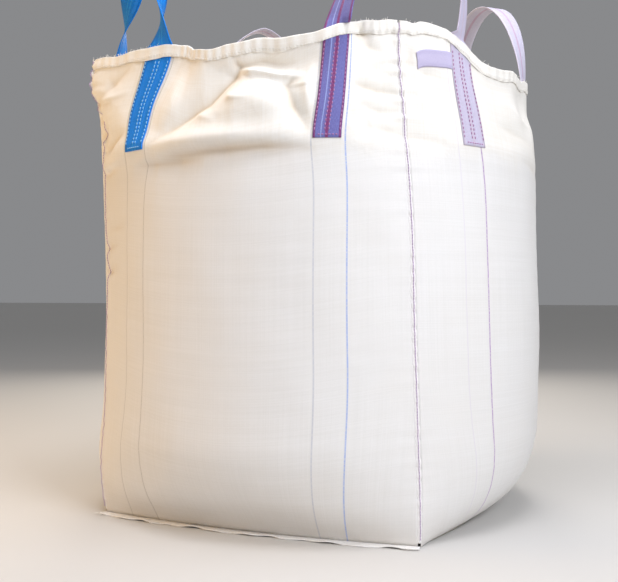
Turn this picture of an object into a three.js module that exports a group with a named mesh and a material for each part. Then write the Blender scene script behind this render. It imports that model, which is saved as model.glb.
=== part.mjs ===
// Bulk bag (FIBC) of woven polypropylene, open topped and full of granulate.
// Millimetres, +Z up, origin at the middle of the base where the bag stands on the floor.
// The front face looks along -Y and the right face along +X.
import * as THREE from 'three';

// Driving dimensions
const panelWidth = 1028; // flat width of each side, seam to seam
const baseWidth = 924; // seam to seam across the base, once full
const rimHeight = 1298; // top hem at the corners
const rimSag = 46; // how far the rim hangs down midway between two corners
const rimSpread = 978; // seam to seam across the mouth
const fillHeight = 965; // where the contents meet the sides
const moundHeight = 60; // crown of the contents above that line
const curlHeight = 250; // height over which the sides swell out from the base
const foldReach = 470; // centre to the middle of a base edge where the fabric folds up
const seamReach = 495; // the same, where the base is sewn to a side
const fabric = 3; // panel thickness
const gap = 0.3; // clearance between sewn pieces
const strapWidth = 70; // lift webbing
const strapThickness = 4;
const strapFromCorner = 223.5; // corner seam to the middle of a strap, along the fabric
const sewnLength = 300; // length of webbing sewn down below the rim
const loopRise = 318; // crown of a lift loop above its hinge
const hingeAboveRim = 6; // where the webbing starts to bend
const hemHeight = 36; // outward fold along the rim
const hemRamp = 14; // length over which the hem climbs onto a strap
const hemTurn = 3; // thickness of the folded hem
const lipReach = 27; // seam allowance standing out along the base
const lipThickness = 4;
const lipLift = 0.5; // the allowance clears the floor
const seamAllowance = 25; // corner seam allowance, turned inwards
const seamEdge = 6; // each panel stops this far short of the corner line
const seamClearance = 0.8; // between a panel edge and the corner seam
const bandLength = 125; // short band sewn beside the right face's first strap
const bandHeight = 43;
const bandThickness = 2.5;
const bandBelowHem = 14;
const contentsGap = 3; // contents to the inside of the fabric
const footInset = 5; // contents in from the fold and the seam at the base

// Worked out from those
const bellyRadius = (2 * panelWidth) / Math.PI; // four sides pulled into a circle
const bellyCorner = bellyRadius / Math.SQRT2;
const edge = 1 - (2 * seamEdge) / panelWidth; // panel edge as a share of the half width
const strapCentre = 1 - (2 * strapFromCorner) / panelWidth;
const strapHalf = strapWidth / panelWidth;
const rampShare = (2 * hemRamp) / panelWidth;
const bandEnd = strapCentre + strapHalf + (2 * bandLength) / panelWidth;
const legBottom = rimHeight - sewnLength;
const hemBottom = rimHeight - hemHeight;
const bandTop = hemBottom - bandBelowHem;
const bandBottom = bandTop - bandHeight;
const panelFoot = lipLift + lipThickness + gap; // a sewn side starts above the allowance
const shift = fabric + contentsGap; // contents surface, in from the outside of the fabric

const lerp = (a, b, t) => a + (b - a) * t;
const smooth = (t) => {
  const u = Math.min(1, Math.max(0, t));
  return u * u * (3 - 2 * u);
};

// Sorted list without values that lie too close to the one before, so rows that coincide merge.
function ladder(values, closest) {
  const sorted = [...values].sort((a, b) => a - b);
  return sorted.filter((v, i) => i === 0 || v - sorted[i - 1] > closest);
}

// Rows of the side panels, as heights before the rim sags.
const curlSteps = 5;
const curlRows = [...Array(curlSteps + 1)].map(
  (_, i) => curlHeight * (1 - Math.cos((i / curlSteps) * (Math.PI / 2))),
);
const bellySteps = 4;
const bellyRows = [...Array(bellySteps)].map((_, i) => lerp(curlHeight, legBottom, (i + 1) / bellySteps));
const slackRows = [lerp(legBottom, bandBottom, 0.5), bandBottom, bandTop, hemBottom, rimHeight];
const rows = ladder([...curlRows, ...bellyRows, ...slackRows], 2);

// Columns across a side, -1 at one corner line and 1 at the other.
const halfColumns = [
  strapCentre - strapHalf - rampShare,
  strapCentre - strapHalf,
  strapCentre,
  strapCentre + strapHalf,
  strapCentre + strapHalf + rampShare,
  bandEnd,
  edge,
];
const middleColumns = [-0.66, -0.33, 0, 0.33, 0.66].map((t) => t * halfColumns[0]);
const columns = [...halfColumns.map((a) => -a).reverse(), ...middleColumns, ...halfColumns];

// Height of the arc over a chord of half length c whose own length is given.
function sagitta(c, length) {
  let low = 1e-3;
  let high = c;
  for (let i = 0; i < 40; i++) {
    const s = (low + high) / 2;
    const rho = (c * c + s * s) / (2 * s);
    const arc = 4 * rho * Math.atan2(s, c);
    if (arc < length) low = s;
    else high = s;
  }
  return (low + high) / 2;
}

// Distance from the axis to the corner line, measured along X or Y.
function cornerReach(z) {
  if (z < curlHeight) return lerp(baseWidth / 2, bellyCorner, smooth(z / curlHeight));
  return lerp(bellyCorner, rimSpread / 2, smooth((z - fillHeight) / (rimHeight - fillHeight)));
}

// Distance from the axis to the middle of a side. Folded sides curl up like a quarter ellipse,
// sewn sides rise from their seam like a sine.
function middleReach(folded, z) {
  if (z >= curlHeight) return cornerReach(z) + sagitta(cornerReach(z), panelWidth);
  const t = z / curlHeight;
  const start = folded ? foldReach : seamReach;
  const swell = folded ? Math.sqrt(1 - (1 - t) ** 2) : Math.sin((t * Math.PI) / 2);
  return lerp(start, bellyRadius, swell);
}

const rimDrop = (a) => rimSag * Math.cos((Math.min(1, Math.abs(a)) * Math.PI) / 2) ** 2;
const turned = (v, side) => v.applyAxisAngle(new THREE.Vector3(0, 0, 1), (side * Math.PI) / 2);

// Outside of the fabric: side 0 is the front, then round to the right, the back and the left.
// a runs from -1 to 1 across the side and z is the height before the rim sags.
function onSide(side, a, z) {
  const c = cornerReach(z);
  const m = middleReach(side % 2 === 1, z);
  const s = Math.max(0.5, m - c);
  const rho = (c * c + s * s) / (2 * s);
  const angle = 2 * a * Math.atan2(s, c);
  const drop = rimDrop(a) * smooth((z - fillHeight) / (rimHeight - fillHeight));
  return turned(new THREE.Vector3(rho * Math.sin(angle), rho - m - rho * Math.cos(angle), z - drop), side);
}

function outward(side, a, z) {
  const reach = 0.002;
  const across = onSide(side, a + reach, z).sub(onSide(side, a - reach, z));
  const up = onSide(side, a, z + 0.5).sub(onSide(side, a, Math.max(0, z - 0.5)));
  return across.cross(up).normalize();
}

const raised = (side, a, z, offset) => onSide(side, a, z).addScaledVector(outward(side, a, z), offset);

// Closed body between two grids of points, the second one inside the first. Both skins are cut
// along the same diagonals, which rise towards the next side, so that sewn pieces stay parallel.
// A grid whose rows or columns run backwards is marked as crossed.
function slab(outer, inner, crossed = false) {
  const rowCount = outer.length;
  const columnCount = outer[0].length;
  const position = [...outer.flat(), ...inner.flat()].flatMap((p) => p.toArray());
  const at = (layer, i, j) => (layer * rowCount + i) * columnCount + j;
  const index = [];
  const quad = (a, b, c, d) => index.push(a, b, c, a, c, d);
  for (let i = 0; i + 1 < rowCount; i++) {
    for (let j = 0; j + 1 < columnCount; j++) {
      const ring = (layer) => [
        at(layer, i, j),
        at(layer, i, j + 1),
        at(layer, i + 1, j + 1),
        at(layer, i + 1, j),
      ];
      const [a, b, c, d] = ring(0);
      const [e, f, g, h] = ring(1);
      if (crossed) {
        quad(b, c, d, a);
        quad(h, g, f, e);
      } else {
        quad(a, b, c, d);
        quad(g, f, e, h);
      }
    }
  }
  const [top, last] = [rowCount - 1, columnCount - 1];
  for (let i = 0; i < top; i++) {
    quad(at(0, i, 0), at(0, i + 1, 0), at(1, i + 1, 0), at(1, i, 0));
    quad(at(0, i, last), at(1, i, last), at(1, i + 1, last), at(0, i + 1, last));
  }
  for (let j = 0; j < last; j++) {
    quad(at(0, 0, j), at(1, 0, j), at(1, 0, j + 1), at(0, 0, j + 1));
    quad(at(0, top, j), at(0, top, j + 1), at(1, top, j + 1), at(1, top, j));
  }
  return body(position, index);
}

// Closed body from rings of points joined one to the next. Each end is a fan of triangles,
// from the middle of its ring or, for a narrow section, from the ring's first point.
function tower(rings, fromMiddle = false) {
  const count = rings[0].length;
  const last = (rings.length - 1) * count;
  const points = rings.flat();
  const index = [];
  for (let i = 0; i < last; i += count) {
    for (let j = 0; j < count; j++) {
      const [a, b] = [i + j, i + ((j + 1) % count)];
      index.push(a, b, b + count, a, b + count, a + count);
    }
  }
  const hubs = [0, last];
  if (fromMiddle) {
    for (const end of [0, 1]) {
      const ring = rings[end * (rings.length - 1)];
      const sum = ring.reduce((total, p) => total.add(p), new THREE.Vector3());
      hubs[end] = points.push(sum.divideScalar(count)) - 1;
    }
  }
  for (let j = fromMiddle ? 0 : 1; j < (fromMiddle ? count : count - 1); j++) {
    const next = (j + 1) % count;
    index.push(hubs[0], next, j);
    index.push(hubs[1], last + j, last + next);
  }
  return body(points.flatMap((p) => p.toArray()), index);
}

// Indexed geometry, turned round if its faces point inwards.
function body(position, index) {
  const corner = (i) => new THREE.Vector3().fromArray(position, 3 * i);
  let volume = 0;
  for (let i = 0; i < index.length; i += 3) {
    volume += corner(index[i]).dot(corner(index[i + 1]).cross(corner(index[i + 2])));
  }
  const facing = volume < 0 ? [...index].reverse() : index;
  const geometry = new THREE.BufferGeometry();
  geometry.setAttribute('position', new THREE.Float32BufferAttribute(position, 3));
  geometry.setIndex(facing);
  geometry.computeVertexNormals();
  return geometry;
}

// Materials
const finish = (color, roughness) => new THREE.MeshStandardMaterial({ color, roughness, metalness: 0 });
const wovenFabric = finish(0xe9e4da, 0.72);
const seamFabric = finish(0xd9cfd6, 0.8);
const blueWebbing = finish(0x1b78cc, 0.55);
const violetWebbing = finish(0x8d86c4, 0.6);
const paleWebbing = finish(0xd3cbe8, 0.62);
const granulate = finish(0xe4ddcc, 0.85);

const bag = new THREE.Group();

function add(name, geometry, material) {
  const mesh = new THREE.Mesh(geometry, material);
  mesh.name = name;
  bag.add(mesh);
}

// Part of a side, as a slab between two heights off the outside of the fabric.
function patch(side, across, up, low, high) {
  const layer = (offset) => up.map((z) => across.map((a) => raised(side, a, z, offset(a))));
  return slab(layer(high), layer(low));
}

// Side panels at the front and back, sewn to the base
const sideNames = ['front', 'right', 'back', 'left'];
const sewnRows = [panelFoot, ...rows.filter((z) => z > panelFoot + 2)];
for (const side of [0, 2]) {
  const geometry = patch(side, columns, sewnRows, () => -fabric, () => 0);
  add(`side_panel_${sideNames[side]}`, geometry, wovenFabric);
}

// U-panel: the right side, the base and the left side in one length of cloth
function baseRow(u, offset) {
  const at = (a) => {
    const alongFold = onSide(1, a, 0);
    const seam = onSide(0, u, 0);
    const c = cornerReach(0);
    const x = seam.x + u * alongFold.x - u * c;
    const y = alongFold.y - a * seam.y - a * c;
    return new THREE.Vector3(x, y, offset);
  };
  return columns.map(at);
}
const baseSteps = 6;
const baseShares = [...Array(baseSteps - 1)].map((_, i) => 1 - (2 * (i + 1)) / baseSteps);
function uPanelLayer(offset) {
  const right = [...rows].reverse().map((z) => columns.map((a) => raised(1, a, z, -offset)));
  const base = baseShares.map((u) => baseRow(u, offset));
  const left = rows.map((z) => columns.map((a) => raised(3, -a, z, -offset)));
  return [...right, ...base, ...left];
}
add('u_panel', slab(uPanelLayer(0), uPanelLayer(fabric), true), wovenFabric);

// Base seams: both seam allowances turned outwards as a lip along the front and the back
for (const side of [0, 2]) {
  const lip = (z) =>
    [-fabric, lipReach].map((reach) =>
      [-1, ...columns, 1].map((a) => {
        const p = onSide(side, a, 0);
        const away = outward(side, a, panelFoot).setZ(0).normalize();
        return p.addScaledVector(away, reach).setZ(z);
      }),
    );
  add(`base_seam_${sideNames[side]}`, slab(lip(lipLift + lipThickness), lip(lipLift)), seamFabric);
}

// Corner seams: a rib between two panel edges, its allowance turned into the bag
const cornerNames = ['front_right', 'back_right', 'back_left', 'front_left'];
const seamShare = (2 * (seamEdge - seamClearance)) / panelWidth;
const ribHalf = 1.5;
function seamSection(corner, z) {
  const next = (corner + 1) % 4;
  const tip = onSide(corner, 1, z);
  const away = tip.clone().setZ(0).normalize();
  const along = new THREE.Vector3(-away.y, away.x, 0);
  const share = 1 - seamShare;
  const inside = tip.clone().addScaledVector(away, -seamAllowance);
  return [
    tip.clone().addScaledVector(away, 1),
    onSide(next, -share, z),
    raised(next, -share, z, -fabric),
    inside.clone().addScaledVector(along, ribHalf),
    inside.clone().addScaledVector(along, -ribHalf),
    raised(corner, share, z, -fabric),
    onSide(corner, share, z),
  ];
}
const seamRows = rows.filter((z) => z > panelFoot + 2);
cornerNames.forEach((name, corner) => {
  add(`corner_seam_${name}`, tower(seamRows.map((z) => seamSection(corner, z))), seamFabric);
});

// Lift loops: one length of webbing per corner, sewn down on both of its sides
const legColumns = [strapCentre - strapHalf, strapCentre, strapCentre + strapHalf];
const legRows = rows.filter((z) => z > legBottom - 1);
const webbing = [violetWebbing, paleWebbing, paleWebbing, blueWebbing];

// Half width of the loose webbing near its hinge, narrowed so that it can fold over the rim.
const hingeClearance = 9;
const tongue = 5;
const foldSlope = Math.tan(Math.PI / 3) * Math.SQRT1_2;
const halfWidthAt = (above) => Math.min(strapWidth / 2, tongue + (above - hingeClearance) / foldSlope);

function hingeEnd(side, a) {
  return raised(side, a, rimHeight, gap + strapThickness / 2).add(new THREE.Vector3(0, 0, hingeAboveRim));
}

// How far round its quarter turn the webbing is: it twists in both legs and lies level at the crown.
const crownShare = 0.12; // of the loop's length, either side of the middle
function twist(t) {
  if (t > 0.5) return 1 - twist(1 - t);
  return smooth(t / (0.5 - crownShare)) / 2;
}

// A half ellipse from one hinge to the other.
function loopSection(corner, t) {
  const start = hingeEnd(corner, strapCentre);
  const end = hingeEnd((corner + 1) % 4, -strapCentre);
  const chord = end.clone().sub(start);
  const turn = Math.PI * t;
  const centre = start.clone().addScaledVector(chord, (1 - Math.cos(turn)) / 2);
  centre.z += loopRise * Math.sin(turn);
  const ahead = chord.clone().multiplyScalar(Math.sin(turn) / 2);
  ahead.z += loopRise * Math.cos(turn);
  ahead.normalize();
  const facing = (twist(t) * Math.PI) / 2;
  const width = turned(new THREE.Vector3(Math.cos(facing), -Math.sin(facing), 0), corner);
  width.addScaledVector(ahead, -width.dot(ahead)).normalize();
  const face = width.clone().cross(ahead);
  const half = halfWidthAt(loopRise * Math.sin(turn));
  const onFace = (w, n) => {
    const p = centre.clone().addScaledVector(width, w * half);
    return p.addScaledVector(face, (n * strapThickness) / 2);
  };
  return [onFace(-1, -1), onFace(1, -1), onFace(1, 1), onFace(-1, 1)];
}

const firstTurn = Math.asin(hingeClearance / loopRise) / Math.PI;
const fullTurn = Math.asin((hingeClearance + (strapWidth / 2 - tongue) * foldSlope) / loopRise) / Math.PI;
const loopSteps = 19; // odd, so that one facet lies level under the crown
const archTurns = [...Array(loopSteps + 1)].map((_, i) => lerp(fullTurn, 1 - fullTurn, i / loopSteps));
const loopTurns = [firstTurn, ...archTurns, 1 - firstTurn];

cornerNames.forEach((name, corner) => {
  const next = (corner + 1) % 4;
  const sewn = (side, across) => patch(side, across, legRows, () => gap, () => gap + strapThickness);
  const mirrored = legColumns.map((a) => -a).reverse();
  add(`sewn_leg_${name}_${sideNames[corner]}`, sewn(corner, legColumns), webbing[corner]);
  add(`sewn_leg_${name}_${sideNames[next]}`, sewn(next, mirrored), webbing[corner]);
  add(`lift_loop_${name}`, tower(loopTurns.map((t) => loopSection(corner, t))), webbing[corner]);
});

// Top hem: the cloth folded outwards along the rim, over the top of the sewn webbing
const overStrap = (a) => Math.abs(Math.abs(a) - strapCentre) <= strapHalf + 1e-6;
const hemLow = (a) => (overStrap(a) ? 2 * gap + strapThickness : gap);
const hemHigh = (a) => hemLow(a) + hemTurn;
sideNames.forEach((name, side) => {
  add(`top_hem_${name}`, patch(side, columns, [hemBottom, rimHeight], hemLow, hemHigh), wovenFabric);
});

// Short cross band, sewn to the right face between its first strap and the corner
const bandShare = 1 - gap / bandLength;
const bandColumns = [-bandEnd, lerp(-bandEnd, -strapCentre - strapHalf, bandShare)];
const bandAcross = [bandColumns[0], -(strapCentre + strapHalf + rampShare), bandColumns[1]];
const crossBand = patch(1, bandAcross, [bandBottom, bandTop], () => gap, () => gap + bandThickness);
add('cross_band', crossBand, paleWebbing);

// Contents: granulate up to the fill line, heaped in the middle
const fillRows = [...rows.filter((z) => z > 0 && z < fillHeight - 20), fillHeight];
const cornerInset = (seamAllowance + 6) / Math.SQRT2;
const contentsShares = [-1, -0.75, -0.5, -0.25, 0, 0.25, 0.5, 0.75];
function contentsRing(z, inset, height) {
  const c = cornerReach(z) - cornerInset;
  return sideNames.flatMap((_, side) => {
    const m = middleReach(side % 2 === 1, z) - inset;
    const s = m - c;
    const rho = (c * c + s * s) / (2 * s);
    const halfAngle = 2 * Math.atan2(s, c);
    return contentsShares.map((a) => {
      const angle = a * halfAngle;
      return turned(new THREE.Vector3(rho * Math.sin(angle), rho - m - rho * Math.cos(angle), height), side);
    });
  });
}
const footRing = contentsRing(0, footInset, fabric + gap);
const fillRings = fillRows.map((z) => contentsRing(z, shift, z + shift));
const heapRings = [0.75, 0.5, 0.2].map((share) => {
  const height = fillHeight + shift + moundHeight * (1 - share ** 2);
  return contentsRing(fillHeight, shift, 0).map((p) => p.multiplyScalar(share).setZ(height));
});
add('contents', tower([footRing, ...fillRings, ...heapRings], true), granulate);

export default bag;
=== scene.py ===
import bmesh
import bpy
import numpy as np
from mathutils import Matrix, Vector


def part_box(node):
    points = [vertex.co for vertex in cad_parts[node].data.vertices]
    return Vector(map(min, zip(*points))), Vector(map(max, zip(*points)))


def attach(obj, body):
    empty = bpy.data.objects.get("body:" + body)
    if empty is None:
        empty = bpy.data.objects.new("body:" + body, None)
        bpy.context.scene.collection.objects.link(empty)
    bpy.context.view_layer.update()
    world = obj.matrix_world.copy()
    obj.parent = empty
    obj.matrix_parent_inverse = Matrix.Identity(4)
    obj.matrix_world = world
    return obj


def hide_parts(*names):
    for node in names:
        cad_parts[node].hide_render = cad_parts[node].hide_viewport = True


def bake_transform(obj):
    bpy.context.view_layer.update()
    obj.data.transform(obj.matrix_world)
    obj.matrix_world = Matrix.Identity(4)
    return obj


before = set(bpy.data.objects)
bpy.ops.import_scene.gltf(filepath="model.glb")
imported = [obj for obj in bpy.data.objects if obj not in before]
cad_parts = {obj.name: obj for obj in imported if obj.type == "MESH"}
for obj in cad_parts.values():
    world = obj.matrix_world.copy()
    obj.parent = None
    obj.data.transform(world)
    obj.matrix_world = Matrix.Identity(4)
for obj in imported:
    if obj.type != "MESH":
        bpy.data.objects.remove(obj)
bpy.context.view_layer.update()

# Camera, floor and lights
# A pale floor and a plain pale room, a large cool key light from the right and above, and a weaker
# warm light from the left, so that the bag is brightest on its right and warmest on its left.


def linear(colour):
    """An sRGB hex colour as linear red, green, blue and an alpha of one."""
    parts = np.array([int(colour[i:i + 2], 16) / 255 for i in (1, 3, 5)])
    parts = np.where(parts <= 0.04045, parts / 12.92, ((parts + 0.055) / 1.055) ** 2.4)
    return (*parts, 1.0)


def add_node(tree, kind, settings=None, links=None, **properties):
    """Adds a node, sets its properties and sockets, and links sockets of earlier nodes into it."""
    node = tree.nodes.new(kind)
    for name, value in properties.items():
        setattr(node, name, value)
    for socket, value in (settings or {}).items():
        node.inputs[socket].default_value = value
    for socket, source in (links or {}).items():
        tree.links.new(source, node.inputs[socket])
    return node


def mixed(tree, factor, a, b, blend_type="MIX"):
    """The colour between a and b; factor, a and b are each a value or a socket of an earlier node."""
    ways = {"Factor": factor, "A": a, "B": b}
    links = {name: way for name, way in ways.items() if isinstance(way, bpy.types.NodeSocket)}
    settings = {name: way for name, way in ways.items() if name not in links}
    return add_node(tree, "ShaderNodeMix", settings, links, data_type="RGBA",
                    blend_type=blend_type).outputs["Result"]


def ranged(tree, value, low, high, to_low=0.0, to_high=1.0, **properties):
    """A value taken from the range low to high into the range to_low to to_high."""
    return add_node(tree, "ShaderNodeMapRange", {"From Min": low, "From Max": high, "To Min": to_low,
                    "To Max": to_high}, {"Value": value}, **properties).outputs[0]


def worked_out(tree, operation, first, *others):
    """The result of one operation on the socket first and the others, each a number or a socket."""
    links = {0: first, **{i: v for i, v in enumerate(others, 1) if isinstance(v, bpy.types.NodeSocket)}}
    settings = {i: v for i, v in enumerate(others, 1) if i not in links}
    return add_node(tree, "ShaderNodeMath", settings, links, operation=operation).outputs[0]


def speckle(tree, vector, scale, detail=3.0, roughness=0.5):
    """Noise over the coordinates of an earlier socket."""
    return add_node(tree, "ShaderNodeTexNoise", {"Scale": scale, "Detail": detail, "Roughness": roughness},
                    {"Vector": vector}).outputs["Fac"]


def bumped(tree, height, strength, distance, normal=None, **properties):
    """The normal of a surface that is raised by height, on top of an earlier normal."""
    links = {"Height": height, "Normal": normal} if normal else {"Height": height}
    return add_node(tree, "ShaderNodeBump", {"Strength": strength, "Distance": distance}, links,
                    **properties).outputs[0]


def blank_material(name):
    """A material with a Principled shader joined to its output, and its tree."""
    material = bpy.data.materials.new(name)
    material.use_nodes = True
    material.node_tree.nodes.clear()
    shader = add_node(material.node_tree, "ShaderNodeBsdfPrincipled")
    add_node(material.node_tree, "ShaderNodeOutputMaterial", links={"Surface": shader.outputs[0]})
    return material, material.node_tree, shader


camera = bpy.data.objects.new("camera", bpy.data.cameras.new("camera"))
bpy.context.collection.objects.link(camera)
camera.data.sensor_width = 36
camera.data.lens = 52.8
camera.data.clip_start, camera.data.clip_end = 0.05, 200
camera.location = (1.085, -2.61, 0.62)
ahead = Vector((-0.3931, 0.9196, 0.0044)).normalized()
camera.rotation_mode = "QUATERNION"
camera.rotation_quaternion = ahead.to_track_quat("-Z", "Y")
bpy.context.scene.camera = camera

floor_material, tree, shader = blank_material("painted_pale_floor")
grain = add_node(tree, "ShaderNodeTexNoise", {"Scale": 3.0, "Detail": 4.0})
shade = mixed(tree, grain.outputs["Fac"], linear("#cfcdc9"), linear("#dbd9d5"))
tree.links.new(shade, shader.inputs["Base Color"])
shader.inputs["Roughness"].default_value = 0.75
floor_mesh = bpy.data.meshes.new("floor")
floor_mesh.from_pydata([(-55, -55, 0), (55, -55, 0), (55, 55, 0), (-55, 55, 0)], [], [(0, 1, 2, 3)])
floor_mesh.materials.append(floor_material)
floor = bpy.data.objects.new("floor", floor_mesh)
bpy.context.collection.objects.link(floor)

world = bpy.data.worlds.new("pale_room")
bpy.context.scene.world = world
world.use_nodes = True
world.node_tree.nodes["Background"].inputs["Color"].default_value = linear("#d4d5d8")
world.node_tree.nodes["Background"].inputs["Strength"].default_value = 0.38
bpy.context.scene.view_settings.view_transform = "Standard"


def soft_light(name, place, target, side, power, colour):
    """A square area light at place, turned towards target."""
    data = bpy.data.lights.new(name, "AREA")
    data.size, data.energy, data.color = side, power, linear(colour)[:3]
    light = bpy.data.objects.new(name, data)
    bpy.context.collection.objects.link(light)
    light.location = place
    light.rotation_mode = "QUATERNION"
    light.rotation_quaternion = (Vector(target) - Vector(place)).to_track_quat("-Z", "Y")


soft_light("key_right", (3.4, -2.4, 2.6), (0, 0, 0.75), 1.5, 122, "#f1f5ff")
soft_light("fill_left", (-3.6, -1.7, 1.5), (0, 0, 0.7), 2.0, 64, "#ffc973")
soft_light("top", (0.4, -0.9, 4.2), (0, 0, 0.9), 2.2, 106, "#fdfbff")
soft_light("back", (-1.6, 3.6, 2.4), (0, 0, 0.9), 2.2, 72, "#fff6ea")

# Cloth of the bag: a U-panel that makes the right side, the base and the left side, and two side panels
# Woven polypropylene tape about 2.5 mm wide, cut flat and sewn up. Full of granulate, each level is
# four equal arcs that meet at the corner seams, and the cloth above the fill hangs slack in folds.
cloth_thickness = 0.0015
tape_width = 0.0025
panel_edge = 0.006  # each panel stops this far short of the corner line
base_half = 0.462
fold_reach = 0.470  # centre to where the U-panel folds up from the base
seam_reach = 0.495  # centre to where the base is sewn to a side panel
curl_height = 0.250
fill_height = 0.965
rim_sag = 0.046
rim_half = 0.489
belly = float(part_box("u_panel")[1][0])
rim_height = float(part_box("corner_seam_front_right")[1][2])
panel_width = belly * np.pi / 2
half_width = panel_width / 2
belly_corner = belly / np.sqrt(2)
strap_from_corner = 0.2235
strap_across = half_width - strap_from_corner
strap_half = 0.035
leg_length = 0.300
leg_foot = rim_height - leg_length


def unit(vectors):
    """The same directions, each one metre long."""
    return vectors / np.linalg.norm(vectors, axis=-1, keepdims=True)


def ease(t):
    """A smooth step from 0 to 1."""
    t = np.clip(t, 0, 1)
    return t * t * (3 - 2 * t)


def hump(t):
    """A round hump, 1 at zero and close to 0 beyond 2."""
    return np.exp(-t * t)


# Soft swells and hollows, in millimetres: where round the bag, height, half width, half height, how far
# outwards. Round the bag is from the middle of the front face, positive towards the right face.
swells = np.array([
    (1270, 480, 550, 300, 13), (750, 550, 300, 350, 6), (-800, 620, 350, 260, -13),
    (-620, 140, 220, 100, 14), (2100, 400, 400, 300, 6), (1280, 950, 300, 120, 4),
    (-500, 1190, 120, 80, 10), (-380, 1050, 80, 120, 16), (500, 1320, 160, 240, -48),
    (660, 1240, 90, 140, 10), (-240, 1300, 130, 180, -42), (50, 1300, 120, 120, -6),
    (140, 1225, 100, 45, -26), (100, 1110, 110, 60, 16), (-190, 1120, 60, 90, 10), (-40, 1010, 200, 30, 17),
    (-280, 1000, 160, 50, 8), (320, 1060, 50, 90, 6), (220, 1180, 50, 80, -12), (1020, 1220, 160, 80, -8),
    (1950, 1180, 150, 100, -16), (2300, 1060, 250, 50, 10), (2600, 1200, 120, 100, 14),
    (-1000, 1160, 180, 80, -16), (-1050, 1020, 300, 40, 12), (-760, 1290, 140, 130, -40),
    (0, 60, 180, 35, -8), (-430, 1310, 90, 60, -12), (250, 90, 120, 50, 4), (-300, 90, 120, 50, 5),
    (1700, 300, 200, 150, 5),
]) / 1000

# The same for cloth pulled sideways, positive towards the right face.
drifts = np.array([
    (530, 1300, 140, 420, -44), (740, 1270, 140, 280, -80), (520, 600, 300, 350, -12),
    (720, 700, 160, 600, -30), (290, 1300, 60, 140, 10), (280, 1000, 80, 80, -10),
    (-260, 1330, 140, 200, 78), (-290, 1000, 100, 100, 20), (2300, 1250, 200, 200, 15),
    (-1300, 1250, 200, 200, -15),
]) / 1000

# Where the rim hangs lower than its plain curve, in millimetres: where round the bag, half width, how
# far down.
slumps = np.array([
    (830, 85, 44), (1000, 120, 14), (-430, 90, 16), (-50, 120, 10), (200, 80, 10), (660, 30, 6),
    (570, 18, 8), (1900, 100, 20), (2450, 80, 12), (-1100, 140, 22), (-1450, 80, 10),
]) / 1000

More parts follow.
